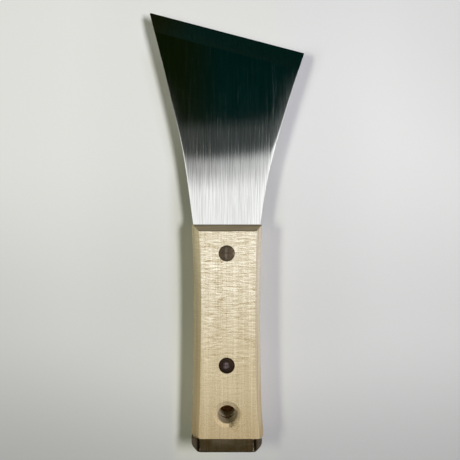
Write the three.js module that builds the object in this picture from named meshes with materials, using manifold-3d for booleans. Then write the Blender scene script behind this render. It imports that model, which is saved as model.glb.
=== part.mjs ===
// Hand scraper. A stainless sheet blade with a slanted cutting edge runs on as a flat tang
// between two chamfered wooden scales. Two cutler's rivets clamp the scales to the tang, a hole
// goes through the handle for hanging it up, and a pressed steel cap covers the butt.
//
// Millimetres, +Z up. The scraper lies on the back of its handle, with the blade towards +Y
// and the short corner of the blade towards +X. The origin is below the middle of its box.

import * as THREE from 'three';
import { mergeVertices } from 'three/addons/utils/BufferGeometryUtils.js';
import Module from 'manifold-3d';

const wasm = await Module();
wasm.setup();

// Handle: the outer width is at the foot of the chamfers
const handleThickness = 17.5;
const handleFrontY = 1.9;
const buttY = -101.6;
const capLineY = -95.8;
const chamferWidth = 3.0;
const chamferDrop = 3.4;
const waistY = -37;
const frontHalfWidth = 16.1;
const waistHalfWidth = 15.3;
const buttHalfWidth = 16.3;
const sideSteps = 22;

// Blade and tang: one sheet at mid thickness
const sheetThickness = 1.5;
const scaleGap = 0.05;
const tangInset = 0.3;
const longCorner = [-36.4, 101.6];
const shortCorner = [36.4, 82.5];
const longSideBend = [[-22.1, 48.9], [-20.4, 40.4]];
const shortSideBend = [[21, 40.4], [29.1, 60.3]];
const bevelWidth = 8.7;
const cuttingEdgeThickness = 0.35;

// Butt cap and the end of the tang that comes through it
const capWall = 0.8;
const capEndPlate = 1.2;
const capGap = 0.15;
const capCornerRadius = 2.2;
const capRimRadius = 1.3;
const tabHalfWidth = 6;
const tabRecess = 0.1;
const slotGap = 0.3;

// Cutler's rivets
const rivetYs = { blade: -11.3, butt: -62.2 };
const rivetHeadRadius = 3.7;
const rivetHeadThickness = 1.5;
const rivetHeadRecess = 0.15;
const rivetEdgeWidth = 0.4;
const rivetEdgeDrop = 0.25;
const counterboreRadius = 4;
const headSeatGap = 0.1;
const socketRadius = 2.4;
const socketBoreRadius = 1.6;
const socketEndZ = 4;
const socketBoreEndZ = 13.6;
const studRadius = 1.3;
const studEndZ = 13;
const studTipChamfer = 0.4;
const shankClearance = 0.3;

// Hanging hole, its mouth worn into a soft countersink with a shoulder part of the way down
const hangHoleY = -84.4;
const hangHoleRadius = 4.15;
const countersinkRadius = 5.8;
const countersinkDepth = 1.2;
const shoulderRadius = 4.8;
const shoulderDepth = 0.4;

const midZ = handleThickness / 2;
const sheetLowZ = midZ - sheetThickness / 2;
const sheetHighZ = midZ + sheetThickness / 2;
const roundSides = 32;

// How far cutting shapes run past what they cut: clear of the whole handle, or just past a face
const beyond = 30;
const past = 1;

// A closed mesh from any geometry, as a solid that can be cut and joined
function solidOf(geometry) {
  const bare = geometry.index ? geometry.toNonIndexed() : geometry.clone();
  bare.deleteAttribute('normal');
  bare.deleteAttribute('uv');
  const merged = mergeVertices(bare, 1e-4);
  const corners = Array.from(merged.index.array);
  const triVerts = [];
  for (let i = 0; i < corners.length; i += 3) {
    const [a, b, c] = corners.slice(i, i + 3);
    if (a !== b && b !== c && c !== a) triVerts.push(a, b, c);
  }
  return new wasm.Manifold(new wasm.Mesh({
    numProp: 3,
    vertProperties: new Float32Array(merged.attributes.position.array),
    triVerts: new Uint32Array(triVerts),
  }));
}

function geometryOf(solid) {
  const mesh = solid.getMesh();
  const geometry = new THREE.BufferGeometry();
  geometry.setAttribute('position', new THREE.BufferAttribute(mesh.vertProperties, 3));
  geometry.setIndex(new THREE.BufferAttribute(mesh.triVerts, 1));
  geometry.computeVertexNormals();
  return geometry;
}

// A box between two corners
function box(low, high) {
  const size = high.map((value, axis) => value - low[axis]);
  const middle = high.map((value, axis) => (value + low[axis]) / 2);
  const geometry = new THREE.BoxGeometry(...size);
  geometry.translate(...middle);
  return solidOf(geometry);
}

// A turned shape on the handle's middle line, from a profile of [radius, z] points
function turned(profile, y) {
  const points = profile.map(([radius, z]) => new THREE.Vector2(radius, z));
  const geometry = new THREE.LatheGeometry(points, roundSides);
  geometry.rotateX(Math.PI / 2);
  geometry.translate(0, y, 0);
  return solidOf(geometry);
}

// A round cutter that goes right through the handle
function throughHole(radius, y) {
  const lowZ = -past;
  const highZ = handleThickness + past;
  return turned([[0, lowZ], [radius, lowZ], [radius, highZ], [0, highZ]], y);
}

// Half the outer width of the handle: two parabolas that meet at the waist, then straight
function halfWidthAt(y) {
  const [endY, endHalf] = y > waistY ? [handleFrontY, frontHalfWidth] : [capLineY, buttHalfWidth];
  const along = Math.min(Math.abs((y - waistY) / (endY - waistY)), 1);
  return waistHalfWidth + (endHalf - waistHalfWidth) * along ** 2;
}

// The points of one side of the handle, drawn in by an inset, from one y down to the cap line
function handleSide(side, inset, startY, endY) {
  const points = [];
  for (let step = 0; step <= sideSteps; step += 1) {
    const y = startY + ((endY - startY) * step) / sideSteps;
    points.push(new THREE.Vector2(side * (halfWidthAt(y) - inset), y));
  }
  return points;
}

// The whole handle as one chamfered block, drawn in all round by an inset, and running on past
// the butt so that the chamfer on that end can be cut away
function handleBlock(inset) {
  const flat = inset + chamferWidth;
  const left = handleSide(-1, flat, handleFrontY - flat, capLineY);
  const right = handleSide(1, flat, handleFrontY - flat, capLineY);
  const endHalf = buttHalfWidth - flat;
  const pastButt = [
    new THREE.Vector2(-endHalf, buttY - beyond),
    new THREE.Vector2(endHalf, buttY - beyond),
  ];
  const outline = new THREE.Shape([...left, ...pastButt, ...right.reverse()]);
  const thickness = handleThickness - 2 * inset;
  const geometry = new THREE.ExtrudeGeometry(outline, {
    depth: thickness - 2 * chamferDrop,
    bevelEnabled: true,
    bevelSize: chamferWidth,
    bevelThickness: chamferDrop,
    bevelSegments: 1,
  });
  geometry.translate(0, 0, inset + chamferDrop);
  return solidOf(geometry);
}

// Everything between two heights or between two places along the handle
function betweenZ(lowZ, highZ) {
  return box([-beyond, buttY - past, lowZ], [beyond, handleFrontY + past, highZ]);
}

function betweenY(lowY, highY) {
  return box([-beyond, lowY, -past], [beyond, highY, handleThickness + past]);
}

// The block of wood that both scales are cut from, with its end stepped in to fit inside the cap
function woodBlock() {
  const grip = handleBlock(0).intersect(betweenY(capLineY, handleFrontY + past));
  const coreLowY = buttY + capEndPlate + capGap;
  const core = handleBlock(capWall + capGap).intersect(betweenY(coreLowY, capLineY + past));
  return grip.add(core);
}

// What is cut from the front scale: counterbores, shank holes and the countersunk hanging hole
function frontHoles() {
  const faceZ = handleThickness;
  const seatZ = faceZ - rivetHeadRecess - rivetHeadThickness - headSeatGap;
  let holes = throughHole(hangHoleRadius, hangHoleY).add(turned([
    [0, faceZ - countersinkDepth],
    [hangHoleRadius, faceZ - countersinkDepth],
    [shoulderRadius, faceZ - shoulderDepth],
    [countersinkRadius, faceZ],
    [countersinkRadius, faceZ + past],
    [0, faceZ + past],
  ], hangHoleY));
  for (const y of Object.values(rivetYs)) {
    holes = holes.add(throughHole(socketRadius + shankClearance, y)).add(turned([
      [0, seatZ],
      [counterboreRadius, seatZ],
      [counterboreRadius, faceZ + past],
      [0, faceZ + past],
    ], y));
  }
  return holes;
}

// The two scales mirror each other across the tang
function frontScale() {
  const half = betweenZ(sheetHighZ + scaleGap, handleThickness + past);
  return woodBlock().intersect(half).subtract(frontHoles());
}

function rearScale() {
  return frontScale().mirror([0, 0, 1]).translate([0, 0, handleThickness]);
}

// The outline of blade and tang: down the long side, round the tang, up the short side
function sheetOutline() {
  const tangEndY = capLineY + capGap;
  const left = handleSide(-1, tangInset, handleFrontY, tangEndY);
  const right = handleSide(1, tangInset, handleFrontY, tangEndY);
  const stepHalf = buttHalfWidth - capWall - slotGap;
  const stepY = buttY + capEndPlate + capGap;
  const tipY = buttY + tabRecess;
  const outline = new THREE.Shape();
  outline.moveTo(...shortCorner);
  outline.lineTo(...longCorner);
  outline.bezierCurveTo(...longSideBend[1], ...longSideBend[0], left[0].x, left[0].y);
  for (const point of left.slice(1)) outline.lineTo(point.x, point.y);
  for (const side of [-1, 1]) {
    const steps = [
      [side * stepHalf, tangEndY],
      [side * stepHalf, stepY],
      [side * tabHalfWidth, stepY],
      [side * tabHalfWidth, tipY],
    ];
    for (const [x, y] of side < 0 ? steps : steps.reverse()) outline.lineTo(x, y);
  }
  for (const point of right.reverse()) outline.lineTo(point.x, point.y);
  outline.bezierCurveTo(...shortSideBend[0], ...shortSideBend[1], ...shortCorner);
  return outline;
}

// The wedge of steel that grinding takes off the front along the cutting edge
function groundWedge() {
  const alongX = shortCorner[0] - longCorner[0];
  const alongY = shortCorner[1] - longCorner[1];
  const edgeLength = Math.hypot(alongX, alongY);
  const taken = sheetThickness - cuttingEdgeThickness;
  const reach = 2 * bevelWidth;
  const section = new THREE.Shape([
    new THREE.Vector2(-bevelWidth, 0),
    new THREE.Vector2(reach - bevelWidth, (-taken * reach) / bevelWidth),
    new THREE.Vector2(reach - bevelWidth, taken),
    new THREE.Vector2(-bevelWidth, taken),
  ]);
  const geometry = new THREE.ExtrudeGeometry(section, {
    depth: edgeLength + 2 * beyond,
    bevelEnabled: false,
  });
  geometry.translate(0, 0, -beyond - edgeLength / 2);
  const across = new THREE.Vector3(-alongY, alongX, 0).normalize();
  const along = new THREE.Vector3(alongX, alongY, 0).normalize();
  const up = new THREE.Vector3(0, 0, 1);
  geometry.applyMatrix4(new THREE.Matrix4().makeBasis(across, up, along));
  const middleX = (shortCorner[0] + longCorner[0]) / 2;
  const middleY = (shortCorner[1] + longCorner[1]) / 2;
  geometry.translate(middleX, middleY, sheetHighZ);
  return solidOf(geometry);
}

function blade() {
  const sheet = new THREE.ExtrudeGeometry(sheetOutline(), {
    depth: sheetThickness,
    bevelEnabled: false,
    curveSegments: 20,
  });
  sheet.translate(0, 0, sheetLowZ);
  let solid = solidOf(sheet).subtract(groundWedge());
  for (const y of Object.values(rivetYs)) {
    solid = solid.subtract(throughHole(socketRadius + shankClearance, y));
  }
  return solid.subtract(throughHole(hangHoleRadius, hangHoleY));
}

// A block end in the plane, square towards the blade and with round corners at the butt
function roundedEnd(half, radius) {
  const outline = new THREE.Shape();
  outline.moveTo(half, capLineY + past);
  outline.lineTo(-half, capLineY + past);
  outline.lineTo(-half, buttY + radius);
  outline.absarc(-half + radius, buttY + radius, radius, Math.PI, 1.5 * Math.PI, false);
  outline.absarc(half - radius, buttY + radius, radius, -0.5 * Math.PI, 0, false);
  return new THREE.ExtrudeGeometry(outline, { depth: 2 * beyond, bevelEnabled: false });
}

// The cap is the end of the handle block, rounded towards the butt and hollowed for the wood
function buttCap() {
  const outer = handleBlock(0).intersect(betweenY(buttY, capLineY - capGap));
  const fromAbove = roundedEnd(buttHalfWidth, capCornerRadius);
  fromAbove.translate(0, 0, -beyond);
  const fromTheSide = roundedEnd(midZ, capRimRadius);
  fromTheSide.rotateY(Math.PI / 2);
  fromTheSide.translate(-beyond, 0, midZ);
  const hollow = handleBlock(capWall).intersect(betweenY(buttY + capEndPlate, capLineY + past));
  const slot = box(
    [-tabHalfWidth - slotGap, buttY - past, sheetLowZ - slotGap],
    [tabHalfWidth + slotGap, buttY + capEndPlate + past, sheetHighZ + slotGap],
  );
  const shell = outer.intersect(solidOf(fromAbove)).intersect(solidOf(fromTheSide));
  return shell.subtract(hollow).subtract(slot);
}

// The tubular half of a rivet: its head is on the front and its blind bore opens to the back
function rivetSocket(y) {
  const top = handleThickness - rivetHeadRecess;
  const underHead = top - rivetHeadThickness;
  return turned([
    [0, socketBoreEndZ],
    [socketBoreRadius, socketBoreEndZ],
    [socketBoreRadius, socketEndZ],
    [socketRadius, socketEndZ],
    [socketRadius, underHead],
    [rivetHeadRadius, underHead],
    [rivetHeadRadius, top - rivetEdgeDrop],
    [rivetHeadRadius - rivetEdgeWidth, top],
    [0, top],
  ], y);
}

// The pin half: its head is on the back and its pin is pressed up into the socket
function rivetStud(y) {
  const overHead = rivetHeadRecess + rivetHeadThickness;
  return turned([
    [0, rivetHeadRecess],
    [rivetHeadRadius - rivetEdgeWidth, rivetHeadRecess],
    [rivetHeadRadius, rivetHeadRecess + rivetEdgeDrop],
    [rivetHeadRadius, overHead],
    [studRadius, overHead],
    [studRadius, studEndZ - studTipChamfer],
    [studRadius - studTipChamfer, studEndZ],
    [0, studEndZ],
  ], y);
}

const stainless = new THREE.MeshStandardMaterial({ color: 0xb9bbb8, metalness: 1, roughness: 0.32 });
const wood = new THREE.MeshStandardMaterial({ color: 0xdcc9a4, metalness: 0, roughness: 0.62 });
const darkSteel = new THREE.MeshStandardMaterial({ color: 0x5a4a40, metalness: 0.9, roughness: 0.4 });
const capSteel = new THREE.MeshStandardMaterial({ color: 0x4a3a28, metalness: 0.9, roughness: 0.45 });

const group = new THREE.Group();

function addPiece(name, solid, material) {
  const mesh = new THREE.Mesh(geometryOf(solid), material.clone());
  mesh.name = name;
  group.add(mesh);
}

addPiece('blade', blade(), stainless);
addPiece('front_scale', frontScale(), wood);
addPiece('rear_scale', rearScale(), wood);
for (const [place, y] of Object.entries(rivetYs)) {
  addPiece(`${place}_rivet_socket`, rivetSocket(y), darkSteel);
  addPiece(`${place}_rivet_stud`, rivetStud(y), darkSteel);
}
addPiece('butt_cap', buttCap(), capSteel);

export default group;
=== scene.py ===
import math

import bmesh
import bpy
from mathutils import Matrix, Vector, noise


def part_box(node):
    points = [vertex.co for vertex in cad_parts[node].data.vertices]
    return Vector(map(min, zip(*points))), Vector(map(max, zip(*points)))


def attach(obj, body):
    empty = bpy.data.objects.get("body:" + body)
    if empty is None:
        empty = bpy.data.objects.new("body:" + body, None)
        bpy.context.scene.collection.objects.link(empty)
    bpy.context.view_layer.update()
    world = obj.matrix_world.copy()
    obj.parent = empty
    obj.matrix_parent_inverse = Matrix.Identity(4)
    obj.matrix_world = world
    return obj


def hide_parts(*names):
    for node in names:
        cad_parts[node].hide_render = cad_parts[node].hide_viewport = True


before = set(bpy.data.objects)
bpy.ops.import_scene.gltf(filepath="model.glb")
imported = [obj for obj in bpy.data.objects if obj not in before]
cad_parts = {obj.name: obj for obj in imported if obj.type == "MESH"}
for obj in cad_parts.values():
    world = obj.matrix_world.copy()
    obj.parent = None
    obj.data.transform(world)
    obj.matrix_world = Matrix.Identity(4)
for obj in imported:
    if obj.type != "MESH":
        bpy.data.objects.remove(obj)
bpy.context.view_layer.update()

mm = 0.001
frontLow, frontHigh = [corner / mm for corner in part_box("front_scale")]
bladeLow, bladeHigh = [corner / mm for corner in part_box("blade")]
capLow, capHigh = [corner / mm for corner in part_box("butt_cap")]
print("scraper: frame loaded")


# Shader maths as plain expressions, and one way to add every other node

class Link:
    def __init__(self, shade, socket):
        self.shade = shade
        self.socket = socket

    def maths(self, operation, first, second):
        return self.shade.node("Math", {"operation": operation}, {0: first, 1: second})

    def __add__(self, other):
        return self.maths("ADD", self, other)

    def __radd__(self, other):
        return self.maths("ADD", other, self)

    def __sub__(self, other):
        return self.maths("SUBTRACT", self, other)

    def __rsub__(self, other):
        return self.maths("SUBTRACT", other, self)

    def __mul__(self, other):
        return self.maths("MULTIPLY", self, other)

    def __rmul__(self, other):
        return self.maths("MULTIPLY", other, self)

    def __truediv__(self, other):
        return self.maths("DIVIDE", self, other)

    def __rtruediv__(self, other):
        return self.maths("DIVIDE", other, self)

    def __abs__(self):
        return self.shade.node("Math", {"operation": "ABSOLUTE"}, {0: self})


class Shade:
    def __init__(self, block):
        block.use_nodes = True
        self.tree = block.node_tree
        self.tree.nodes.clear()

    def node(self, kind, settings=None, sockets=None, output=0):
        made = self.tree.nodes.new("ShaderNode" + kind)
        for name, value in (settings or {}).items():
            setattr(made, name, value)
        for key, value in (sockets or {}).items():
            if isinstance(value, Link):
                self.tree.links.new(value.socket, made.inputs[key])
            else:
                made.inputs[key].default_value = value
        return Link(self, made.outputs[output]) if made.outputs else made

    def position(self):  # the place on the object, in millimetres
        place = self.node("TexCoord", output="Object")
        return self.stretch(place, (1 / mm, 1 / mm, 1 / mm))

    def stretch(self, vector, factors):
        return self.node("VectorMath", {"operation": "MULTIPLY"}, {0: vector, 1: factors})

    def shift(self, vector, offset):
        return self.node("VectorMath", {"operation": "ADD"}, {0: vector, 1: offset})

    def axis(self, vector, name):
        return self.node("SeparateXYZ", {}, {0: vector}, output=name)

    def length(self, vector):
        return self.node("VectorMath", {"operation": "LENGTH"}, {0: vector}, output="Value")

    def grain(self, vector, size, seed=0, detail=2.0, rough=0.6):
        # noise whose features are about size millimetres along x, y and z
        moved = self.shift(vector, (seed * 31.7, seed * 17.3, seed * 53.9))
        scaled = self.stretch(moved, tuple(1 / length for length in size))
        sockets = {"Vector": scaled, "Scale": 1.0, "Detail": detail, "Roughness": rough}
        return self.node("TexNoise", {}, sockets)

    def ramp(self, value, low, high, start=0.0, end=1.0, smooth=True):
        kind = "SMOOTHSTEP" if smooth else "LINEAR"
        sockets = {"Value": value, "From Min": low, "From Max": high, "To Min": start, "To Max": end}
        return self.node("MapRange", {"interpolation_type": kind, "clamp": True}, sockets)

    def mask(self, at, limits):
        # several ramps multiplied together, each the name of a measure and the ramp's values
        return math.prod(self.ramp(at[name], *values) for name, *values in limits)

    def mix(self, factor, first, second, blend="MIX"):
        settings = {"data_type": "RGBA", "blend_type": blend, "clamp_factor": True}
        first, second = [(*c, 1) if isinstance(c, tuple) else c for c in (first, second)]
        return self.node("Mix", settings, {0: factor, 6: first, 7: second}, output=2)

    def grey(self, value):
        return self.node("CombineColor", {}, {0: value, 1: value, 2: value})

    def dim(self, colour, share):
        # a colour made darker or paler all through by one value
        return self.mix(1.0, colour, self.grey(share), "MULTIPLY")

    def bump(self, height, depth):
        # depth is in millimetres
        return self.node("Bump", {}, {"Height": height, "Distance": depth * mm, "Strength": 1.0})


def newMaterial(name, paint):
    material = bpy.data.materials.new(name)
    shade = Shade(material)
    surface = shade.node("BsdfPrincipled", {}, paint(shade))
    shade.node("OutputMaterial", {}, {"Surface": surface})
    return material


# Mesh helpers

def rounded(points, radii, steps=5):
    # a path with its inner corners turned into arcs; ends stay as they are
    path = [Vector(points[0])]
    for before, corner, after, radius in zip(points, points[1:], points[2:], radii):
        corner = Vector(corner)
        toBefore = (Vector(before) - corner).normalized()
        toAfter = (Vector(after) - corner).normalized()
        half = toBefore.angle(toAfter) / 2
        if radius <= 0 or half > math.pi / 2 - 0.01:
            path.append(corner)
            continue
        reach = radius / math.tan(half)
        centre = corner + (toBefore + toAfter).normalized() * (radius / math.sin(half))
        start = corner + toBefore * reach - centre
        end = corner + toAfter * reach - centre
        for step in range(steps + 1):
            path.append(centre + start.slerp(end, step / steps) * radius)  # slerp gives unit length
    path.append(Vector(points[-1]))
    return path


def ringSolid(rings):
    # a closed solid from rings of points that match one to one, closed by a face at each end
    bm = bmesh.new()
    loops = [[bm.verts.new(point) for point in ring] for ring in rings]
    count = len(loops[0])
    for low, high in zip(loops, loops[1:]):
        for i in range(count):
            j = (i + 1) % count
            bm.faces.new((low[i], low[j], high[j], high[i]))
    bm.faces.new(loops[0][::-1])
    bm.faces.new(loops[-1])
    bmesh.ops.recalc_face_normals(bm, faces=bm.faces)
    return bm


def turned(profile, y, turns=72, wobble=None, x=0):
    # a shape turned about a vertical axis at (x, y), from [radius, z] points that start and end on it
    bm = bmesh.new()
    rings = []
    for radius, z in profile:
        if radius < 1e-6:
            rings.append([bm.verts.new((x, y, z))])
            continue
        ring = []
        for turn in range(turns):
            angle = 2 * math.pi * turn / turns
            reach = radius * (1 + (wobble(angle, z) if wobble else 0))
            ring.append(bm.verts.new((x + reach * math.cos(angle), y + reach * math.sin(angle), z)))
        rings.append(ring)
    for low, high in zip(rings, rings[1:]):
        for i in range(turns):
            j = (i + 1) % turns
            corners = [low[i % len(low)], low[j % len(low)], high[j % len(high)], high[i % len(high)]]
            bm.faces.new(list(dict.fromkeys(corners)))
    bmesh.ops.recalc_face_normals(bm, faces=bm.faces)
    return bm


def boxSolid(low, high):
    bm = bmesh.new()
    size = [b - a for a, b in zip(low, high)]
    middle = [(a + b) / 2 for a, b in zip(low, high)]
    bmesh.ops.create_cube(bm, size=1, matrix=Matrix.Translation(middle) @ Matrix.Diagonal((*size, 1)))
    return bm


def linked(name, data):
    made = bpy.data.objects.new(name, data)
    bpy.context.scene.collection.objects.link(made)
    return made


def newObject(name, bm):
    mesh = bpy.data.meshes.new(name)
    bm.to_mesh(mesh)
    bm.free()
    return linked(name, mesh)


def carve(piece, tool, operation="DIFFERENCE"):
    # joins to, keeps or cuts away another solid, which is used up
    cutter = newObject("tool", tool)
    modifier = piece.modifiers.new("carve", "BOOLEAN")
    modifier.operation = operation
    modifier.solver = "EXACT"
    modifier.object = cutter
    bpy.context.view_layer.update()
    shaped = bpy.data.meshes.new_from_object(piece.evaluated_get(bpy.context.evaluated_depsgraph_get()))
    piece.modifiers.clear()
    worn = piece.data
    piece.data = shaped
    bpy.data.meshes.remove(worn)
    bpy.data.objects.remove(cutter)


def finishPiece(piece, name, material, sharpDegrees=32, weighted=True):
    # millimetres become metres, flat faces stay flat under smooth shading, and the piece joins the frame
    bm = bmesh.new()
    bm.from_mesh(piece.data)
    bmesh.ops.remove_doubles(bm, verts=bm.verts, dist=0.0005)
    bmesh.ops.dissolve_degenerate(bm, edges=bm.edges, dist=0.0002)
    bmesh.ops.scale(bm, vec=(mm, mm, mm), verts=bm.verts)
    bm.to_mesh(piece.data)
    bm.free()
    piece.name = name + "_finish"
    piece.data.name = name
    piece.data.materials.clear()
    piece.data.materials.append(material)
    piece.data.shade_smooth()
    piece.data.set_sharp_from_angle(angle=math.radians(sharpDegrees))
    if weighted:
        smooth = piece.modifiers.new("weighted", "WEIGHTED_NORMAL")
        smooth.keep_sharp = True
    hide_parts(name)
    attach(piece, "root")
    print("scraper:", name, len(piece.data.polygons), "faces")


# The handle's outline, shared by the scales, the tang and the cap

handle = {
    "waistY": -37.0,
    "frontHalf": 16.1,
    "waistHalf": 15.3,
    "buttHalf": frontHigh.x,
    "frontY": frontHigh.y,
    "capLineY": capHigh.y + 0.6,
    "buttFlare": 0.7,  # the wood stands proud of the cap on the right
    "flareLength": 22.0,
    "top": frontHigh.z,
    "leftChamfer": (3.7, 4.5),  # width and drop; the front's long left chamfer
    "rightChamfer": (2.35, 2.8),
    "endChamfer": (3.2, 3.4),
    "plainChamfer": (3.0, 3.4),  # on the back
    "capChamfer": (3.4, 3.8),  # the cap's folds, and the tongue of wood inside it
    "endRound": 1.7,  # the wood's corners are rubbed round beside the cap
    "rimSlant": 0.7,  # the joint with the cap runs back down the chamfers
    "leftEase": (0.82, 0.94),  # how much narrower the chamfers end, at the blade and at the butt
    "rightEase": (1.0, 0.78),
    "easeLength": (18.0, 30.0),
    "footRounds": (1.1, 0.9, 0.8),
    "brinkRound": 0.6,
    "cornerRound": 0.4,
    "stations": 46,
    "endShares": (0.002, 0.005, 0.009, 0.014),  # more of them where the end is rubbed round
}


def halfWidthAt(y):
    towardsBlade = y > handle["waistY"]
    endY = handle["frontY"] if towardsBlade else handle["capLineY"]
    endHalf = handle["frontHalf"] if towardsBlade else handle["buttHalf"]
    along = min(abs((y - handle["waistY"]) / (endY - handle["waistY"])), 1)
    return handle["waistHalf"] + (endHalf - handle["waistHalf"]) * along ** 2


def slantAt(z):
    # how far the joint with the cap has run back at one height
    fromTop = handle["top"] / 2 - abs(z - handle["top"] / 2)
    return handle["rimSlant"] * min(max(fromTop / handle["capChamfer"][1], 0), 1)


def chamferProfile(chamfer, lowZ, foot):
    # how far the wall is drawn in and how high it stands, from the inner face up over the chamfer
    width, drop = chamfer
    top = handle["top"]
    corners = [(0, lowZ), (0, top - drop), (width, top), (width + 2, top)]
    return rounded(corners, [foot, handle["brinkRound"]], 6)[:-1]


def gripEdge(sign, inset, y):
    # where one side of the grip lies at one level of its chamfer
    fromBlade = max(0.0, 1 - (handle["frontY"] - y) / handle["easeLength"][0])
    fromButt = max(0.0, 1 - (y - handle["capLineY"]) / handle["easeLength"][1])
    atBlade, atButt = handle["leftEase"] if sign < 0 else handle["rightEase"]
    ease = 1 - (1 - atBlade) * fromBlade ** 2 - (1 - atButt) * fromButt ** 2
    flare = max(0.0, 1 - (y - handle["capLineY"]) / handle["flareLength"]) ** 2 * handle["buttFlare"]
    rubbed = min(max(0.0, 1 - (y - handle["capLineY"]) / handle["endRound"]), 1)
    rubbed = handle["endRound"] * 0.5 * (1 - math.sqrt(1 - rubbed * rubbed))
    return halfWidthAt(y) + (flare if sign > 0 else 0) - inset * ease - min(rubbed, 0.75)


def tongueEdge(sign, inset, y):
    return halfWidthAt(y) - inset


def gripRing(left, right, end, endY, edge):
    # up the left side, round both corners at the blade end and back down the right side;
    # left, right and end are (inset, height) pairs of one level of their chamfers
    frontY = handle["frontY"] - end[0]
    corner = handle["cornerRound"]
    sides = []
    stations = handle["stations"]
    shares = [0, *handle["endShares"]] + [step / stations for step in range(1, stations + 1)]
    for sign, (inset, z) in ((-1, left), (1, right)):
        side = []
        for share in shares:
            y = endY + (frontY - corner - endY) * share
            side.append(Vector((sign * edge(sign, inset, y), y, z)))
        centre = side[-1] - Vector((sign * corner, 0, 0))
        for step in range(1, 5):
            angle = math.radians(90 * step / 4)
            level = z + (end[1] - z) * step / 4
            place = Vector((centre.x, centre.y, 0))
            side.append(place + Vector((sign * corner * math.cos(angle), corner * math.sin(angle), level)))
        sides.append(side)
    return sides[0] + sides[1][::-1]


def gripBlock(lowZ, chamfers, edge=gripEdge, extraInset=0, endY=None):
    profiles = [chamferProfile(chamfer, lowZ + extraInset, foot)
                for chamfer, foot in zip(chamfers, handle["footRounds"])]
    rings = []
    for levels in zip(*profiles):
        left, right, end = [(inset + extraInset, z - extraInset) for inset, z in levels]
        jointY = handle["capLineY"] - slantAt(left[1]) if endY is None else endY
        rings.append(gripRing(left, right, end, jointY, edge))
    return ringSolid(rings)


# Wood

wood = {
    "pale": (0.84, 0.75, 0.580),  # at the blade, and darker towards the butt: partly the wood's own tone, partly painted shade where the light falls off
    "deep": (0.657, 0.537, 0.340),
    "deepAt": (-5, -78),
    "buttDarkening": (0.82, 0.77, 0.70),  # darker again beside the cap, partly painted shade
    "buttDarkeningAt": (-70, -97),
    "leftChamfer": ((0.62, 0.585, 0.475), (0.86, 0.83, 0.76)),  # painted shade by the way each chamfer faces, at the blade and at the butt
    "rightChamfer": ((0.87, 0.86, 0.85), (0.93, 0.92, 0.90)),
    "chamferAt": (-15, -95),
    "chamferFacing": (0.3, 0.55),
    "leftPaler": (-26, 0, 1.0, 1.24),  # painted light: the left one is paler again beside the blade
    "litFold": (14.8, 17.0, 0.0, 0.30),  # and along its fold
    "grains": {  # size, seed, detail and roughness
        "figure": ((9.0, 3.2, 9.0), 6, 2.0, 0.5),
        "bands": ((2.6, 120.0, 4.0), 1, 3.0),
        "lines": ((0.36, 60.0, 1.5), 2),
        "threads": ((4.2, 0.38, 3.0), 3),  # fine dashes straight across the grip
        "breaks": ((1.5, 1.1, 2.0), 8),  # what breaks them up
        "dots": ((0.55, 0.40, 1.5), 9),
        "pores": ((0.3, 0.45, 0.3), 4),
        "layers": ((16.0, 0.42, 0.42), 7, 3.0, 0.65),  # in the end grain
    },
    "dashes": (
        ("threads", 0.30, 0.70, -0.175, 0.175), ("breaks", 0.35, 0.65, 0.6, 1.25),
        ("along", -85, -50, 0.40, 1.1)),
    "dotFade": (-85, -50, 1.0, 0.65),
    "rippleFade": (("along", -80, -20, 0.45, 1.0), ("figure", 0.25, 0.75, 0.65, 1.2)),
    "rippleTone": 2.15,
    "rippleDepth": 0.02,
    "sideAt": (0.1, 0.3),
    "sideFade": 0.75,  # on the chamfers the dashes are faint
    "sideLines": 0.45,  # and the lines stronger
    "lineTone": 0.62,
    "bandTone": 0.42,
    "poreTone": 0.5,
    "toneTint": (0.84, 1.0, 1.35),  # dark places are tan and pale ones cream
    "roughness": (0.2, 0.8, 0.72, 0.56),
}

endGrain = {
    # darker than the face, partly as end grain and partly as painted shade on the bevel
    "colour": (0.275, 0.225, 0.140),
    "layerTone": 1.5,
    "edgeShade": ((15.1, 14.3, 0.0, 0.5), (16.4, 17.1, 0.0, 0.3)),  # painted shade along both edges of the bevel, at its foot and at its fold
    "at": (("facingY", 0.35, 0.6), ("along", -5, -3)),
}

holeShading = {
    "shadedBoreColour": (0.49, 0.41, 0.275),  # drilled wood, darker and greyer than the face: painted shade in the bore
    "shadedTornColour": (0.36, 0.295, 0.175),  # inside the chips below the hole, painted darker as shade
    "tornShare": 0.8,
    "leans": {"turn": (0.62, 0.78), "slope": (0.94, -0.34)},  # the directions across the countersink that its painted light and shade follow
    "bore": (("below", 0.25, -0.2), ("reach", 4.9, 4.3)),
    "torn": (("front", 17.35, 16.9), ("along", -87.5, -88.3), ("across", 0.6, 1.2), ("reach", 9.0, 8.0)),
    "mouth": (("reach", 4.2, 4.6), ("reach", 6.1, 5.6), ("front", 15.0, 16.0)),
    # painted light on the countersink's lit side, and painted shade on its other side
    "rubbed": (0.1, -0.9, 0.0, 0.22),
    "shadedSide": (0.1, 0.8, 0.0, 0.12),
    "brinkShadow": (  # painted shadow in its brink
        ("reach", 5.35, 5.75), ("reach", 6.4, 6.0), ("front", 16.0, 16.8), ("turn", -0.3, 0.5, 0.0, 0.30),
        ("breaks", 0.3, 0.6, 0.5, 1.0)),
    # painted shade on the countersink's right slope
    "worn": (("reach", 5.9, 4.6), ("front", 15.0, 16.0), ("slope", 0.45, 0.9, 0.0, 0.57)),
}


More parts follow.
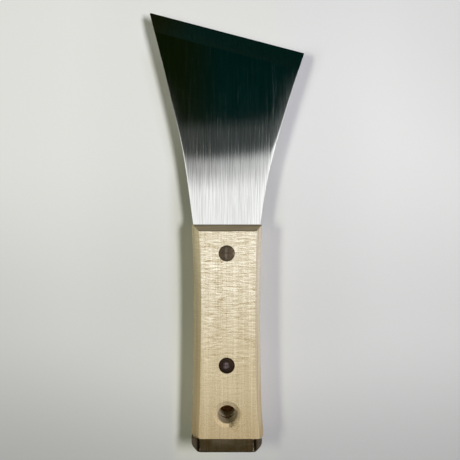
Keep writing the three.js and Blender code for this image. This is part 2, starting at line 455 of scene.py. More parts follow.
def chamferShading(shade, at):
    # painted shade on the long chamfers by the way they face, more so on the left, with painted light on
    # the left one near the blade and along its fold
    atButt = shade.ramp(at["along"], *wood["chamferAt"])
    leftTone, rightTone = [shade.mix(atButt, *wood[name]) for name in ("leftChamfer", "rightChamfer")]
    paler = shade.ramp(at["front"], *wood["litFold"]) + shade.ramp(at["along"], *wood["leftPaler"])
    low, high = wood["chamferFacing"]
    side = shade.mix(shade.ramp(at["facingX"], low, high), (1.0, 1.0, 1.0), rightTone)
    return shade.mix(shade.ramp(at["facingX"], -low, -high), side, shade.dim(leftTone, paler))


def paintEndGrain(shade, at):
    # the end bevel: open end grain, layered across the grip, with painted shade along its edges
    edgeShade, foldShade = [shade.ramp(at["front"], *stops) for stops in endGrain["edgeShade"]]
    layers = 1 + (at["layers"] - 0.5) * endGrain["layerTone"]
    return shade.dim(endGrain["colour"], layers * (1 - edgeShade - foldShade))


def paintHole(shade, colour, place, at):
    # the bore, the chips below it, and the countersink, with painted light on its lit side and painted
    # shade on the others
    at["reach"] = shade.length(shade.stretch(shade.shift(place, (0, -scales["holeY"], 0)), (1, 1, 0)))
    at["below"] = at["front"] - (handle["top"] - scales["mouthDepth"])
    for name, (acrossShare, aheadShare) in holeShading["leans"].items():
        at[name] = (at["across"] * acrossShare + (at["along"] - scales["holeY"]) * aheadShare) / at["reach"]
    bore, torn, mouth, brinkShadow, worn = [
        shade.mask(at, holeShading[name]) for name in ("bore", "torn", "mouth", "brinkShadow", "worn")]
    colour = shade.mix(bore, colour, holeShading["shadedBoreColour"])
    colour = shade.mix(torn * holeShading["tornShare"], colour, holeShading["shadedTornColour"])
    rubbed, shadedSide = [mouth * shade.ramp(at["turn"], *holeShading[name]) for name in ("rubbed", "shadedSide")]
    return shade.dim(colour, (rubbed + 1) * (1 - shadedSide - brinkShadow - worn))


def paintWood(shade):
    place = shade.position()
    at = {name: shade.grain(place, *facts) for name, facts in wood["grains"].items()}
    at["across"], at["along"], height = [shade.axis(place, name) for name in "XYZ"]
    at["front"] = abs(height - handle["top"] / 2) + handle["top"] / 2  # the back is like the front
    normal = shade.node("NewGeometry", output="True Normal")
    at["facingX"], at["facingY"] = shade.axis(normal, "X"), shade.axis(normal, "Y")

    # partly painted shade: the wood darkens towards the butt, and again beside the cap
    colour = shade.mix(shade.ramp(at["along"], *wood["deepAt"]), wood["pale"], wood["deep"])
    buttDarkening = shade.mix(1.0, colour, wood["buttDarkening"], "MULTIPLY")
    colour = shade.mix(shade.ramp(at["along"], *wood["buttDarkeningAt"]), colour, buttDarkening)
    colour = shade.mix(1.0, colour, chamferShading(shade, at), "MULTIPLY")

    ripple = shade.mask(at, wood["dashes"]) + (at["dots"] - 0.5) * shade.ramp(at["along"], *wood["dotFade"])
    ripple = ripple * shade.mask(at, wood["rippleFade"])
    onSide = shade.ramp(at["facingX"] * at["facingX"], *wood["sideAt"])
    tone = ripple * wood["rippleTone"] * (1 - onSide * wood["sideFade"])
    tone = tone + (at["lines"] - 0.5) * (onSide * wood["sideLines"] + wood["lineTone"])
    tone = tone + (at["bands"] - 0.5) * wood["bandTone"] + (at["pores"] - 0.5) * wood["poreTone"]
    tones = {channel: 1 + tone * share for channel, share in enumerate(wood["toneTint"])}
    colour = shade.mix(1.0, colour, shade.node("CombineColor", {}, tones), "MULTIPLY")
    colour = shade.mix(shade.mask(at, endGrain["at"]), colour, paintEndGrain(shade, at))
    return {
        "Base Color": paintHole(shade, colour, place, at),
        "Roughness": shade.ramp(at["threads"], *wood["roughness"], smooth=False),
        "Normal": shade.bump(ripple + (at["lines"] - 0.5) * 0.5, wood["rippleDepth"]),
        "Specular IOR Level": 0.35,
    }


# Scales

scales = {
    "holeY": -84.4,
    "frontShift": (0.22, -0.25),  # the front's bore is drilled a little off the tang's hole
    "holeRadius": 4.15,
    "mouthRadius": 5.95,
    "mouthDepth": 1.15,
    "mouthStep": 0.25,
    "mouthShift": (0.06, 0.0),  # the countersink lies a little to the right
    "chips": (  # x, y, radius and depth of the places torn out below the hole
        (2.0, -89.0, 1.0, 2.6), (3.3, -89.4, 0.55, 0.7), (4.3, -88.6, 0.4, 0.5), (2.6, -91.0, 0.4, 0.35),
        (4.5, -90.5, 0.35, 0.35), (3.7, -91.6, 0.3, 0.3), (5.2, -89.4, 0.3, 0.3),
    ),
    "ragged": 0.25,
    "headRadius": 3.62,
    "headDepth": 1.75,
    "shankRadius": 2.7,
    "rivetYs": {"blade": -11.3, "butt": -62.2},
    "coreInset": 0.95,
    "coreEndY": -98.9,
}

woodMaterial = newMaterial("bare_hardwood", paintWood)


def wornMouth(angle, z):
    # the mouth of the hanging hole is chipped towards the butt, on the right
    lump = 0.02 * math.sin(3 * angle + 1) + 0.012 * math.sin(7 * angle)
    lean = scales["mouthShift"][0] * math.cos(angle) + scales["mouthShift"][1] * math.sin(angle)
    chip = 0.05 * math.exp(-((angle - math.radians(300)) / 0.3) ** 2)
    depth = max(0.0, 1 - (handle["top"] - z) / scales["mouthDepth"]) * 1.6
    return (lump + lean + chip) * min(depth, 1)


def raggedEdge(angle, z):
    return scales["ragged"] * math.sin(5 * angle) * math.sin(2 * angle)


def cutAt(bm, place, outward):
    # slices a solid and closes the cut
    everything = bm.verts[:] + bm.edges[:] + bm.faces[:]
    bmesh.ops.bisect_plane(bm, geom=everything, clear_outer=True, plane_co=place, plane_no=outward)
    bmesh.ops.holes_fill(bm, edges=bm.edges)
    bmesh.ops.recalc_face_normals(bm, faces=bm.faces)


def turnOver(piece):
    # the rear pieces are mirrored through the middle of the handle
    piece.data.transform(Matrix.Translation((0, 0, handle["top"])) @ Matrix.Diagonal((1, 1, -1, 1)))
    piece.data.flip_normals()


def makeScale(front):
    lowZ = frontLow.z
    top = handle["top"]
    plain = handle["plainChamfer"]
    sides = (handle["leftChamfer"], handle["rightChamfer"]) if front else (plain, plain)
    piece = newObject("scale", gripBlock(lowZ, (*sides, handle["endChamfer"])))
    capChamfer = handle["capChamfer"]
    tongue = gripBlock(lowZ - scales["coreInset"], (capChamfer, capChamfer, capChamfer), tongueEdge,
                       scales["coreInset"], scales["coreEndY"])
    cutAt(tongue, (0, handle["capLineY"] + 1, 0), (0, 1, 0))
    cutAt(tongue, (0, 0, lowZ), (0, 0, -1))
    carve(piece, tongue, "UNION")
    bore, brim = scales["holeRadius"], scales["mouthRadius"]
    mouth = rounded([
        (0, lowZ - 1), (bore, lowZ - 1), (bore, top - scales["mouthDepth"]),
        (brim - 0.35, top - scales["mouthStep"]), (brim, top - 0.04),
        (brim + 0.5, top + 0.3), (0, top + 0.3),
    ], [0, 0.5, 0.3, 0.2, 0], 4)
    shiftX, shiftY = scales["frontShift"] if front else (0, 0)
    carve(piece, turned(mouth, scales["holeY"] + shiftY, 80, wornMouth, shiftX))
    if front:
        for x, y, radius, depth in scales["chips"]:
            chip = [(0, top - depth), (radius, top - depth / 3), (radius * 1.4, top + 0.2), (0, top + 0.2)]
            carve(piece, turned(rounded(chip, [0.3, 0], 3), y, 18, raggedEdge, x))
    for y in scales["rivetYs"].values():
        seat = top - scales["headDepth"]
        shank, head = scales["shankRadius"], scales["headRadius"]
        well = rounded([
            (0, lowZ - 1), (shank, lowZ - 1), (shank, seat), (head, seat), (head, top - 0.12),
            (head + 0.3, top + 0.15), (0, top + 0.15),
        ], [0, 0, 0, 0.3, 0], 4)
        carve(piece, turned(well, y, 64))
    if not front:
        turnOver(piece)
    side = "front" if front else "rear"
    finishPiece(piece, side + "_scale", woodMaterial)


makeScale(True)
makeScale(False)


# Blade and tang

blade = {
    "longCorner": (-36.4, 101.6),
    "cornerRound": 0.45,
    "shortCorner": (36.4, 82.5),
    "longBend": ((-22.1, 48.9), (-20.4, 40.4)),
    "shortBend": ((21.0, 40.4), (29.1, 60.3)),
    "swell": ((0.36, 53.0, 17.0), (0.38, 45.0, 21.0)),  # left and right: how far, where, how widely
    "tangInset": 0.3,
    "bevelWidth": 8.7,
    "edgeThickness": 0.35,
    "grindHollow": 0.05,  # the ground band is a shade hollow between its line and the edge
    "grindSteps": 4,
    "sideRound": 0.22,
    "rollOff": ((0.8, 0.03), (1.9, 0.0)),  # the belt has drawn the face down beside its edges
    "rollEnds": (-6.0, 1.0),
    "rollMost": (28.0, 18.0),  # where the roll-off is broadest, and how far it spreads
    "rollLeast": 0.22,
    "rollSides": (0.35, 1.0),  # left and right
    "stepHalf": 15.2,
    "stepY": -100.25,
    "tabHalf": 6.0,
    "tabY": -101.5,
    "rivetHole": 2.7,
    "hangingHole": 4.25,
    "curveSteps": 48,
}


def bezier(a, b, c, d):
    a, b, c, d = [Vector(p) for p in (a, b, c, d)]
    points = []
    for step in range(blade["curveSteps"] + 1):
        t = step / blade["curveSteps"]
        u = 1 - t
        points.append(a * u ** 3 + b * (3 * u * u * t) + c * (3 * u * t * t) + d * t ** 3)
    return points


def groundDepth(x, y):
    # how far a point lies behind the cutting edge, as a share of the ground width
    a, b = Vector(blade["longCorner"]), Vector(blade["shortCorner"])
    along = (b - a).normalized()
    return abs(along.cross(Vector((x, y)) - a)) / blade["bevelWidth"]


def sheetTop(x, y):
    full = bladeHigh.z - bladeLow.z
    taper = min(groundDepth(x, y), 1)
    hollow = blade["grindHollow"] * 4 * taper * (1 - taper)
    return bladeLow.z + blade["edgeThickness"] + (full - blade["edgeThickness"]) * taper - hollow


def sheetOutline():
    endY = handle["capLineY"] + 0.15
    frontY = handle["frontY"]
    half = handle["frontHalf"] - blade["tangInset"]
    left = bezier((-half, frontY), *blade["longBend"], blade["longCorner"])
    right = bezier((half, frontY), *blade["shortBend"], blade["shortCorner"])
    for side, sign, (most, middle, spread) in zip((left, right), (-1, 1), blade["swell"]):
        for point in side[1:-1]:
            point.x += sign * most * math.exp(-((point.y - middle) / spread) ** 2)
    tang = []
    for step in range(blade["curveSteps"]):
        y = endY + (frontY - endY) * step / blade["curveSteps"]
        tang.append(Vector((halfWidthAt(y) - blade["tangInset"], y)))
    end = [
        Vector((blade["tabHalf"], blade["tabY"])), Vector((blade["tabHalf"], blade["stepY"])),
        Vector((blade["stepHalf"], blade["stepY"])), Vector((blade["stepHalf"], endY)),
    ]
    rightSide = end + tang + right
    leftSide = [Vector((-p.x, p.y)) for p in end + tang] + left
    leftSide = leftSide[:-1] + rounded([left[-2], left[-1], right[-1]], [blade["cornerRound"]], 4)[1:-1]
    return withGroundPoints(rightSide + leftSide[::-1])


def withGroundPoints(outline):
    # adds the places where the line of the ground band, and lines beside it, meet the sides
    lines = [step / blade["grindSteps"] for step in range(1, blade["grindSteps"] + 1)]
    made = []
    for here, after in zip(outline, outline[1:] + outline[:1]):
        made.append(here)
        a, b = groundDepth(*here), groundDepth(*after)
        crossed = [(line - a) / (b - a) for line in lines if (a - line) * (b - line) < 0]
        made += [here.lerp(after, share) for share in sorted(crossed)]
    return made


def inward(outline, i, distance):
    before, here, after = outline[i - 1], outline[i], outline[(i + 1) % len(outline)]
    one, two = (here - before).normalized(), (after - here).normalized()
    middle = (Vector((-one.y, one.x)) + Vector((-two.y, two.x)))
    middle.normalize()
    spread = max(middle.dot(Vector((-one.y, one.x))), 0.35)
    return here + middle * (distance / spread)


def rollShare(x, y):
    # the tang inside the handle keeps small roundings, and so does the blade near its cutting edge
    start, end = blade["rollEnds"]
    middle, spread = blade["rollMost"]
    most = blade["rollSides"][int(x > 0)] * math.exp(-((y - middle) / spread) ** 2)
    outside = min(max((y - start) / (end - start), 0), 1)
    return blade["rollLeast"] + (1 - blade["rollLeast"]) * most * outside


def makeBlade():
    # rings from the back face, round the thin side wall, to the front face
    outline = sheetOutline()
    full = bladeHigh.z - bladeLow.z
    rings = []
    roundSide = blade["sideRound"]
    rim = roundSide * 0.3
    (nearIn, nearDrop), (farIn, farDrop) = blade["rollOff"]
    edgeDrop = nearDrop * 3
    levels = [(roundSide, 0, False), (rim, rim, False), (0, roundSide, False)]
    levels += [(0, -roundSide - edgeDrop, True), (rim, -rim - edgeDrop, True), (roundSide, -edgeDrop, True)]
    levels += [(nearIn, -nearDrop, True), (farIn, -farDrop, True)]
    for inset, rise, front in levels:
        ring = []
        for i, point in enumerate(outline):
            flat = groundDepth(*point) > 1 - 1e-6
            thick = full if flat else sheetTop(*point) - bladeLow.z
            size = (thick / full) ** 2 * rollShare(*point)
            place = inward(outline, i, inset * size)
            if not flat:
                thick = sheetTop(*place) - bladeLow.z
            ring.append(Vector((place.x, place.y, bladeLow.z + (thick if front else 0) + rise * size)))
        rings.append(ring)
    bm = ringSolid(rings)
    bm.faces.ensure_lookup_table()
    bm.verts.ensure_lookup_table()
    front = bm.faces[-1]
    firstOfFront = len(bm.verts) - len(outline)
    for step in range(blade["grindSteps"], 0, -1):
        ends = [bm.verts[firstOfFront + i] for i, point in enumerate(outline)
                if abs(groundDepth(*point) - step / blade["grindSteps"]) < 1e-5]
        halves = [front, bmesh.utils.face_split(front, ends[0], ends[1])[0]]
        front = min(halves, key=lambda face: groundDepth(*face.calc_center_median().xy))
    piece = newObject("sheet", bm)
    for y in scales["rivetYs"].values():
        radius = blade["rivetHole"]
        carve(piece, turned([(0, 5), (radius, 5), (radius, 12), (0, 12)], y, 48))
    under, over, radius = bladeLow.z, bladeHigh.z, blade["hangingHole"]
    hole = rounded([
        (0, under - 1), (radius + 0.95, under - 1), (radius, under + 0.1), (radius, over - 0.1),
        (radius + 0.95, over + 1), (0, over + 1),
    ], [0, 0.2, 0.2, 0], 2)
    carve(piece, turned(hole, scales["holeY"], 80))
    return piece


steel = {
    "dark": (0.49, 0.49, 0.48),
    "light": (0.80, 0.80, 0.79),
    "streaks": ((0.23, 14.0), (0.38, 24.0), (3.0, 70.0)),  # width and length in millimetres
    "shares": (0.52, 0.40, 0.08),
    "streakSpread": (0.40, 0.60, -0.5, 0.5),
    "streakFade": ((6, 27, 0.62, 1.0), (34, 46, 1.0, 0.80)),  # fainter towards the handle and the edge
    "streakDepth": 0.002,
    "gloss": 0.056,
    "dull": (0.4, 0.7, 0.0, 0.016),  # how much rougher the broader streaks are
    "scratchAt": ((0.56, 0.72), (0.45, 0.6)),
    "scratch": 0.075,  # and the sparse deep scratches
    "smudgeSize": (14, 18, 14),
    "smudge": 0.02,
}


def paintBlade(shade):
    place = shade.position()
    fine, middle, broad = [shade.grain(place, (width, length, width), seed)
                           for seed, (width, length) in enumerate(steel["streaks"])]
    smudge = shade.grain(place, steel["smudgeSize"], 5, 3.0)
    nearHandle, nearEdge = [shade.ramp(shade.axis(place, "Y"), *stops) for stops in steel["streakFade"]]
    fade = nearHandle * nearEdge
    tone = sum(streak * share for streak, share in zip((fine, middle, broad), steel["shares"]))
    tone = shade.ramp(tone, *steel["streakSpread"], smooth=False) * fade + 0.5
    scratch = shade.ramp(fine, *steel["scratchAt"][0]) * shade.ramp(middle, *steel["scratchAt"][1])
    rough = steel["gloss"] + shade.ramp(middle, *steel["dull"]) + scratch * steel["scratch"]
    height = (fine - 0.5) + (middle - 0.5) * 1.1
    return {
        "Base Color": shade.mix(tone, steel["dark"], steel["light"]),
        "Metallic": 1.0,
        "Roughness": rough + (smudge - 0.5) * steel["smudge"],
        "Normal": shade.bump(height * fade, steel["streakDepth"]),
    }


bladeMaterial = newMaterial("brushed_stainless", paintBlade)
finishPiece(makeBlade(), "blade", bladeMaterial, sharpDegrees=3.5)


# Rivets

rivets = {
    "headRadius": 3.52,
    "headThickness": 1.5,
    "recess": 0.1,
    "edgeRound": 0.3,
    "doming": 0.14,
    "socketRadius": 2.4,
    "boreRadius": 1.6,
    "studRadius": 1.3,
    "studBevel": 0.4,
    "socketEnd": 4.0,
    "boreEnd": 13.6,
    "studEnd": 13.0,
    "dent": 0.03,
}


def headProfile():
    # from the underside of the rim, round the edge and up over the slightly domed face, in rings
    face = handle["top"] - rivets["recess"]
    under = face - rivets["headThickness"]
    brink = face - rivets["doming"]
    radius = rivets["headRadius"]
    edge = [(radius, under), (radius, brink), (radius - 1, brink + 0.02)]
    rim = rounded(edge, [rivets["edgeRound"]], 5)[:-1]
    rings = 9
    start = rim[-1]
    crown = []
    for step in range(1, rings + 1):
        radius = start.x * (1 - step / rings)
        crown.append(Vector((radius, start.y + (face - start.y) * (1 - (radius / start.x) ** 2))))
    return [tuple(point) for point in list(rim) + crown]


def hammered(bm, y):
    # shallow dents over the crown, which never rise above the flush line
    for vert in bm.verts:
        reach = math.hypot(vert.co.x, vert.co.y - y)
        if vert.co.z > handle["top"] - rivets["recess"] - 0.5 and reach < rivets["headRadius"] - 0.2:
            spot = Vector((vert.co.x * 0.75, vert.co.y * 0.75, y))
            vert.co.z -= rivets["dent"] * (1 + noise.noise(spot)) * 1.4


def rivetHalf(shank, y):
    under = handle["top"] - rivets["recess"] - rivets["headThickness"]
    return turned(shank + [(shank[-1][0], under)] + headProfile(), y)


def makeSocket(y):
    bore, wall, end = rivets["boreRadius"], rivets["socketRadius"], rivets["socketEnd"]
    bm = rivetHalf([(0, rivets["boreEnd"]), (bore, rivets["boreEnd"]), (bore, end), (wall, end)], y)
    hammered(bm, y)
    return newObject("socket", bm)


def makeStud(y):
    radius, end, bevel = rivets["studRadius"], handle["top"] - rivets["studEnd"], rivets["studBevel"]
    piece = newObject("stud", rivetHalf([(0, end), (radius - bevel, end), (radius, end + bevel)], y))
    turnOver(piece)
    return piece


brownSteel = {
    "blotches": ((1.4, 1.4, 1.4), 1, 4.0),
    "scratches": ((0.25, 1.8, 1.0), 2, 3.0),
    "tone": (0.35, 0.65),
    "roughness": (0.3, 0.7, 0.46, 0.32),
    "depth": 0.01,
    "blade": {
        "y": scales["rivetYs"]["blade"],
        "dark": (0.044, 0.031, 0.018),
        "light": (0.074, 0.056, 0.036),
        # a painted highlight across the head
        "rubbed": (0.120, 0.103, 0.090),
        "highlightPatch": (0.7, 4.4),  # half the width and half the length of the painted highlight
        "rim": 0.95,  # painted shade: how dark the rim is beside the head
    },
    "butt": {
        "y": scales["rivetYs"]["butt"],
        "dark": (0.016, 0.008, 0.004),
        "light": (0.030, 0.018, 0.012),
        # a painted highlight on the head
        "rubbed": (0.165, 0.125, 0.132),
        "highlightPatch": (2.0, 1.8),
        "rim": 0.5,
    },
}


def rivetPaint(facts):
    def paintRivet(shade):
        place = shade.shift(shade.position(), (0, -facts["y"], 0))
        blotch, scratch = [shade.grain(place, *brownSteel[name]) for name in ("blotches", "scratches")]
        tone = shade.ramp(blotch * 0.7 + scratch * 0.3, *brownSteel["tone"])
        colour = shade.mix(tone, facts["dark"], facts["light"])
        fromMiddle = shade.length(shade.stretch(place, (1, 1, 0)))
        radius = rivets["headRadius"]
        # painted shade at the rim of the head
        colour = shade.dim(colour, shade.ramp(fromMiddle, radius - 0.7, radius - 0.1, 1.0, facts["rim"]))
        # a painted highlight across the face of the head
        aside = (shade.axis(place, "X") + 0.25 + (blotch - 0.5) * 0.8) / facts["highlightPatch"][0]
        along = shade.axis(place, "Y") / facts["highlightPatch"][1]
        highlightPatch = shade.ramp(aside * aside + along * along, 1.0, 0.0)
        highlightPatch = highlightPatch * shade.ramp(scratch * 0.5 + blotch * 0.5, 0.38, 0.58)
        return {
            "Base Color": shade.mix(highlightPatch, colour, facts["rubbed"]),
            "Metallic": 0.9,
            "Roughness": shade.ramp(blotch, *brownSteel["roughness"]),
            "Normal": shade.bump(scratch + blotch * 2, brownSteel["depth"]),
        }
    return paintRivet


for place, y in scales["rivetYs"].items():
    rivetMaterial = newMaterial("browned_" + place + "_rivet", rivetPaint(brownSteel[place]))
    finishPiece(makeSocket(y), place + "_rivet_socket", rivetMaterial, weighted=False)
    finishPiece(makeStud(y), place + "_rivet_stud", rivetMaterial, weighted=False)


# Butt cap

cap = {
    "wall": 0.8,
    "endPlate": 1.2,
    "cornerRound": (6.2, 3.15),  # seen from the front, at both ends of the end plate
    "rimRound": 0.6,  # between the faces and the end plate
    "foldRound": 3.2,
    "sideFoldRound": 1.6,
    "lip": 0.45,  # how far the rim stands beyond the plain cap's
    "slotHalf": 6.3,
    "slotHeight": 1.05,
}


def capRing(draw, rise, y):
    # the chamfered section of the handle's end, drawn in sideways and in height
    half = handle["buttHalf"] - draw
    middle = handle["top"] / 2
    top = middle - rise
    width, drop = handle["capChamfer"]
    left = max(width - draw, 0.3) / width  # the folds run straight on as the ends are drawn in
    quarter = [(half, 0), (half, top - drop * left), (half - width * left, top), (0, top)]
    arc = rounded(quarter, [cap["sideFoldRound"] * left, cap["foldRound"] * left], 6)[1:-1]
    spread = [Vector((arc[-1].x * share, arc[-1].y)) for share in (0.75, 0.5, 0.25, 0)]
    upper = arc + spread + [Vector((-p.x, p.y)) for p in reversed(arc + spread[:-1])]
    lower = [Vector((-p.x, -p.y)) for p in upper]
    ring = []
    for p in upper + lower:
        slant = slantAt(middle + p.y) if y > capHigh.y else 0
        ring.append(Vector((p.x, y - slant, middle + p.y)))
    return ring


def makeCap():
    buttY = capLow.y
    (cornerWide, cornerLong), rim = cap["cornerRound"], cap["rimRound"]
    lip = capHigh.y + cap["lip"]
    rings = [capRing(0.16, 0.16, lip), capRing(0.04, 0.04, lip - 0.06), capRing(0, 0, lip - 0.2)]
    steps = 12
    for step in range(steps + 1):
        y = buttY + cornerLong * (1 - math.sin(math.radians(90 * step / steps)))
        drawn = cornerWide * (1 - math.cos(math.radians(90 * step / steps)))
        within = max(0.0, 1 - (y - buttY) / rim)
        rings.append(capRing(drawn, rim * (1 - math.sqrt(1 - within * within)), y))
    piece = newObject("cap", ringSolid(rings))
    wall = cap["wall"]
    inner = ringSolid([
        capRing(wall - 0.1, wall - 0.1, lip + 1), capRing(wall - 0.1, wall - 0.1, lip),
        capRing(wall, wall, lip - 0.2), capRing(wall, wall, buttY + cap["endPlate"] + 1.6),
        capRing(wall + 0.7, wall + 0.2, buttY + cap["endPlate"] + 0.6),
        capRing(wall + 1.4, wall + 0.6, buttY + cap["endPlate"]),
    ])
    carve(piece, inner)
    middle = handle["top"] / 2
    carve(piece, boxSolid(
        (-cap["slotHalf"], buttY - 1, middle - cap["slotHeight"]),
        (cap["slotHalf"], buttY + cap["endPlate"] + 1, middle + cap["slotHeight"])))
    return piece


capSteel = {
    "dark": (0.056, 0.034, 0.008),
    "light": (0.140, 0.106, 0.066),
    "grains": (  # stain, brush marks, streaks and rubbed patches
        ((3.5, 2.5, 3.5), 1, 4.0), ((5.0, 0.12, 0.8), 2, 3.0),
        ((0.5, 9.0, 1.5), 3, 3.0), ((0.6, 1.1, 0.6), 4)),
    "tone": (0.35, 0.70, 0.0, 0.65),
    "middle": (-2.0, 6.0, 0.55),  # painted reflection: the middle of the face is paler
    "middleAlong": (-99.5, -96.5),
    "sides": (13.4 ** 2, 14.6 ** 2, 0.0, 0.7),  # the chamfers are paler as well
    "worn": (0.42, 0.37, 0.30),  # painted glint along the folds, more so on the right
    "glintAt": (12.1, 0.24),
    "glintLeft": 0.3,
    "creaseShade": (0.006, 0.004, 0.002),  # painted shade in the creases beyond the folds
    "creaseShadeAt": (13.0, 0.8),
    "creaseShadeShare": 0.7,
    "roughness": (0.3, 0.7, 0.29, 0.15),
    "brushDepth": 0.014,
}


def paintCap(shade):
    place = shade.position()
    stain, brush, streak, patches = [shade.grain(place, *facts) for facts in capSteel["grains"]]
    across, along = shade.axis(place, "X"), shade.axis(place, "Y")
    # painted reflection: a paler middle of the face
    middleX, middleHalf, middleTone = capSteel["middle"]
    aside = (across - middleX) / middleHalf
    middle = shade.ramp(aside * aside, 1.0, 0.0) * shade.ramp(along, *capSteel["middleAlong"]) * middleTone
    tone = shade.ramp(stain * 0.5 + brush * 0.2 + streak * 0.3, *capSteel["tone"]) + middle
    tone = tone + shade.ramp(across * across, *capSteel["sides"])
    colour = shade.mix(tone, capSteel["dark"], capSteel["light"])
    # a painted glint along each fold, more so on the right
    foldX, foldHalf = capSteel["glintAt"]
    right, left = (across - foldX) / foldHalf, (across + foldX) / foldHalf
    worn = shade.ramp(right * right, 1.0, 0.0) + shade.ramp(left * left, 1.0, 0.0) * capSteel["glintLeft"]
    worn = worn * shade.ramp(patches, 0.42, 0.6)
    # painted shade in the creases beyond the folds
    creaseX, creaseHalf = capSteel["creaseShadeAt"]
    beyond = abs(across) - creaseX
    creaseShade = shade.ramp(beyond * beyond, creaseHalf ** 2, 0.1) * shade.ramp(stain, 0.2, 0.5, 0.6, 1.0)
    colour = shade.mix(creaseShade * capSteel["creaseShadeShare"], colour, capSteel["creaseShade"])
    return {
        "Base Color": shade.mix(worn, colour, capSteel["worn"]),
        "Metallic": 0.9,
        "Roughness": shade.ramp(stain, *capSteel["roughness"]),
        "Normal": shade.bump(brush + stain * 2, capSteel["brushDepth"]),
    }


capMaterial = newMaterial("browned_cap_steel", paintCap)
finishPiece(makeCap(), "butt_cap", capMaterial)


# Floor, light and camera

studio = {
    # each lamp aims past the far side and the cutting edge, so its light falls off only towards the butt
    "rightLamp": {
        "place": (238, 0, 450), "aim": (-450, 220, 0), "size": (222, 92), "watts": 8.7,
        "tint": (1.0, 0.995, 1.03)},
    "leftLamp": {
        "place": (-303, 0, 450), "aim": (450, 220, 0), "size": (215, 92), "watts": 3.35,
        "tint": (1.0, 1.02, 0.82)},
    "overhead": ((0.0045, 0.0092, 0.0018), (0.0, 0.0135, 0.0108)),  # to the left and to the right
    "horizon": (0.66, 0.66, 0.65),
    "fill": ((0.003, 0.003, 0.003), (0.06, 0.06, 0.056)),  # overhead, and low beyond the cutting edge
    "cameraPlace": (1.5, -0.7, 248.75),
    "lens": 39.96,
}


paper = {
    "tone": 0.798,
    "tones": (  # painted shade: darker towards the butt, the left and two of the corners
        ("along", -45, -125, 1.0, 0.76), ("along", -45, 45, 0.91, 1.035), ("across", 0, 110, 1.0, 1.065),
        ("across", 0, -110, 1.0, 0.98), ("askew", 120, 220, 1.0, 0.91), ("askew", -85, -220, 1.0, 0.90)),
    "near": (("square", 80 ** 2, 30 ** 2, 0.0, -0.05), ("along", -75, -45)),  # and painted shade near the blade
    "blues": (("across", -60, 30, 0.985, 1.0), ("across", 22, 36, 1.0, 1.025)),
    "fibres": ((1.2, 1.2, 1.2), 1, 3.0),
    "fibreTone": 0.03,
    # the shadows deepen towards the blade, more so on the left, where they are warm
    "beside": (("aside", 30, 21), ("along", -125, -103), ("along", 92, 78)),
    "spread": (30, 102, 0, 26),  # they stand further out where the blade spreads
    "leftSpread": 0.25,
    "leftFade": (25, 60, 0.0, 0.6),
    "upwards": (-100, 20),
    "deeper": ((0.05, 0.19), (0.08, 0.20)),  # both sides and the left: at the butt, and less upwards
    "warm": 0.10,
    "underHole": (0.47, 0.24, 0.10),  # painted shade: what shows below the hanging hole
    "melt": (420, 190),  # it melts into the backdrop well outside the picture
}


def paintFloor(shade):
    place = shade.position()
    across, along = shade.axis(place, "X"), shade.axis(place, "Y")
    left = shade.ramp(across, 5, -5)
    upwards = shade.ramp(along, *paper["upwards"], smooth=False)
    spread = shade.ramp(along, *paper["spread"], smooth=False) * (1 - left * paper["leftSpread"])
    at = {"across": across, "along": along, "askew": across + along, "square": across * across,
          "aside": abs(across) - spread}
    beside = shade.mask(at, paper["beside"]) * (1 - left * shade.ramp(along, *paper["leftFade"]))
    (atButt, rise), (leftAtButt, leftRise) = paper["deeper"]
    deeper = 1 + beside * (atButt - upwards * rise + left * (leftAtButt - upwards * leftRise))
    fibres = 1 + (shade.grain(place, *paper["fibres"]) - 0.5) * paper["fibreTone"]
    tone = shade.mask(at, paper["tones"]) * (shade.mask(at, paper["near"]) + 1)
    tone = tone * deeper * fibres * paper["tone"]
    blue = shade.mask(at, paper["blues"]) * tone * (1 - beside * left * paper["warm"])
    plain = shade.node("CombineColor", {}, {0: tone, 1: tone, 2: blue})
    fromHole = shade.length(shade.shift(place, (0, -scales["holeY"], 0)))
    return {
        "Base Color": shade.mix(shade.ramp(fromHole, 7, 5), plain, paper["underHole"]),
        "Alpha": shade.ramp(shade.length(place), *paper["melt"]),
        "Roughness": 0.8,
        "Specular IOR Level": 0.2,
    }


def makeFloor():
    bm = bmesh.new()
    below = Matrix.Translation((0, 0, -0.05 * mm))
    bmesh.ops.create_grid(bm, x_segments=2, y_segments=2, size=3, matrix=below)
    floor = newObject("floor", bm)
    floor.data.materials.append(newMaterial("paper_floor", paintFloor))


def addLamp(name, facts):
    light = bpy.data.lights.new(name, "AREA")
    light.shape = "ELLIPSE"
    light.size, light.size_y = [side * mm for side in facts["size"]]
    light.energy = facts["watts"]
    light.color = facts["tint"]
    shade = Shade(light)
    steady = shade.node("LightFalloff", {}, {"Strength": 1.0}, output="Constant")
    shade.node("OutputLight", {}, {"Surface": shade.node("Emission", {}, {"Strength": steady})})
    lamp = linked(name, light)
    lamp.location = Vector(facts["place"]) * mm
    lamp.rotation_euler = (Vector(facts["aim"]) - lamp.location / mm).to_track_quat("-Z", "Y").to_euler()


# What polished metal sees overhead: two broad glows behind the camera that stop at a dark ceiling

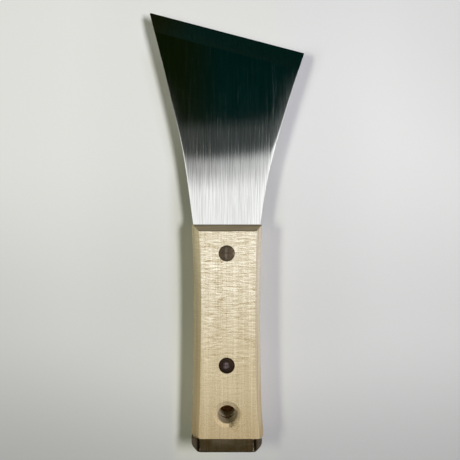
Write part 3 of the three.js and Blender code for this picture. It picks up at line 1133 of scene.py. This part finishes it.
glow = {
    "right": {"tone": 0.605, "sideways": 0.19, "stops": (0.1522, 0.1280)},
    "left": {"tone": 0.56, "sideways": -0.22, "stops": (0.124, 0.072)},
    "haze": {"tone": 0.058, "stops": (0.2205, 0.187)},
    "slant": 0.074,  # their ends lie askew and bend, seen in the blade
    "bend": 0.8,
    "reach": (-0.12, -0.60, 1.0, 0.12),  # where both fade out behind the camera
    "sideways": (0.55, 0.30),  # and where they fade out to either side
    "sill": {"tone": (0.006, 0.0045, 0.0025), "stops": (0.50, 0.85)},  # what the ground band sees
    "flanks": {  # beside them
        "left": 0.03, "right": 0.40, "stops": (0.15, 0.45), "ahead": (0.22, 0.14)},
    "width": 0.08,
    "dimAhead": (0.11, 0.21, 0.0, 0.8),  # metal sees a dark horizon beyond the cutting edge
    "beside": {  # a faint light that only the outermost of the blade's face sees
        "right": {"start": 0.043, "slope": 0.27, "tone": 0.18},
        "left": {"start": 0.061, "slope": 0.21, "tone": 0.05},
        "spread": 0.012,
        "ends": (0.2, 0.06),
        "ahead": (0.32, 0.22),
    },
    "behind": (-0.25, -0.05),  # where what stands beside the blade ends behind the camera
    "leastUp": 0.05,
    "low": (0.64, 0.42),  # where the horizon begins, which lies lower at the sides
    "lowSides": 0.3,
    "fillHigh": (0.75, 0.55),
    "fillAhead": (0.0, 0.6),
}


def makeWorld():
    world = bpy.data.worlds.new("studio")
    bpy.context.scene.world = world
    shade = Shade(world)
    way = shade.node("TexCoord", output="Generated")
    sideways, ahead, height = [shade.axis(way, name) for name in "XYZ"]
    up = height.maths("MAXIMUM", height, glow["leastUp"])
    across, along = sideways / up, ahead / up
    notBehind = shade.ramp(along, *glow["behind"])

    ends = along - across * glow["slant"] - across * across * glow["bend"]
    light = shade.ramp(ends, *glow["haze"]["stops"]) * glow["haze"]["tone"]
    flanks = glow["flanks"]
    outward = shade.ramp(across, *flanks["stops"]) * flanks["right"]
    outward = outward + shade.ramp(-1 * across, *flanks["stops"]) * flanks["left"]
    light = light + outward * notBehind * shade.ramp(along, *flanks["ahead"])
    fade = shade.ramp(along, *glow["reach"]) * shade.ramp(abs(across), *glow["sideways"])
    tilt = shade.ramp(across, -glow["width"], glow["width"], -1.0, 1.0, smooth=False)
    for facts in (glow["right"], glow["left"]):
        tone = facts["tone"] + tilt * facts["sideways"]
        light = light + shade.ramp(ends, *facts["stops"]) * tone * fade
    beside = glow["beside"]
    for sign, facts in ((1, beside["right"]), (-1, beside["left"])):
        brink = across * sign - along * facts["slope"] - facts["start"]
        soft = shade.ramp(brink, -beside["spread"], beside["spread"]) * facts["tone"]
        soft = soft * shade.ramp(brink, *beside["ends"]) * shade.ramp(along, *beside["ahead"])
        light = light + soft * notBehind

    ceiling = shade.mix(shade.ramp(across, -0.1, 0.0), *studio["overhead"])
    overhead = shade.mix(1.0, ceiling, shade.grey(light), "ADD")
    overhead = shade.mix(shade.ramp(along, *glow["sill"]["stops"]), overhead,
                         shade.mix(1.0, overhead, glow["sill"]["tone"], "ADD"))
    glossy = shade.node("LightPath", output="Is Glossy Ray")
    horizon = shade.dim(studio["horizon"], 1 - glossy * shade.ramp(ahead, *glow["dimAhead"]))
    low = shade.ramp(height + sideways * sideways * glow["lowSides"], *glow["low"])
    seen = shade.mix(low, overhead, horizon)
    rays = shade.node("LightPath", output="Is Camera Ray")
    for kind in ("Is Glossy Ray", "Is Transmission Ray"):
        rays = rays.maths("MAXIMUM", rays, shade.node("LightPath", output=kind))
    beyond = shade.ramp(height, *glow["fillHigh"]) * shade.ramp(ahead, *glow["fillAhead"])
    faint = shade.mix(beyond, *studio["fill"])
    background = shade.node("Background", {}, {"Color": shade.mix(rays, faint, seen), "Strength": 1.0})
    shade.node("OutputWorld", {}, {"Surface": background})


def makeCamera():
    data = bpy.data.cameras.new("camera")
    data.lens = studio["lens"]
    data.sensor_width = 36
    data.clip_start = 0.01
    camera = linked("camera", data)
    camera.location = Vector(studio["cameraPlace"]) * mm
    bpy.context.scene.camera = camera


makeFloor()
addLamp("rightLamp", studio["rightLamp"])
addLamp("leftLamp", studio["leftLamp"])
makeWorld()
makeCamera()
bpy.context.scene.view_settings.view_transform = "Standard"
print("scraper: floor, lamps and camera")
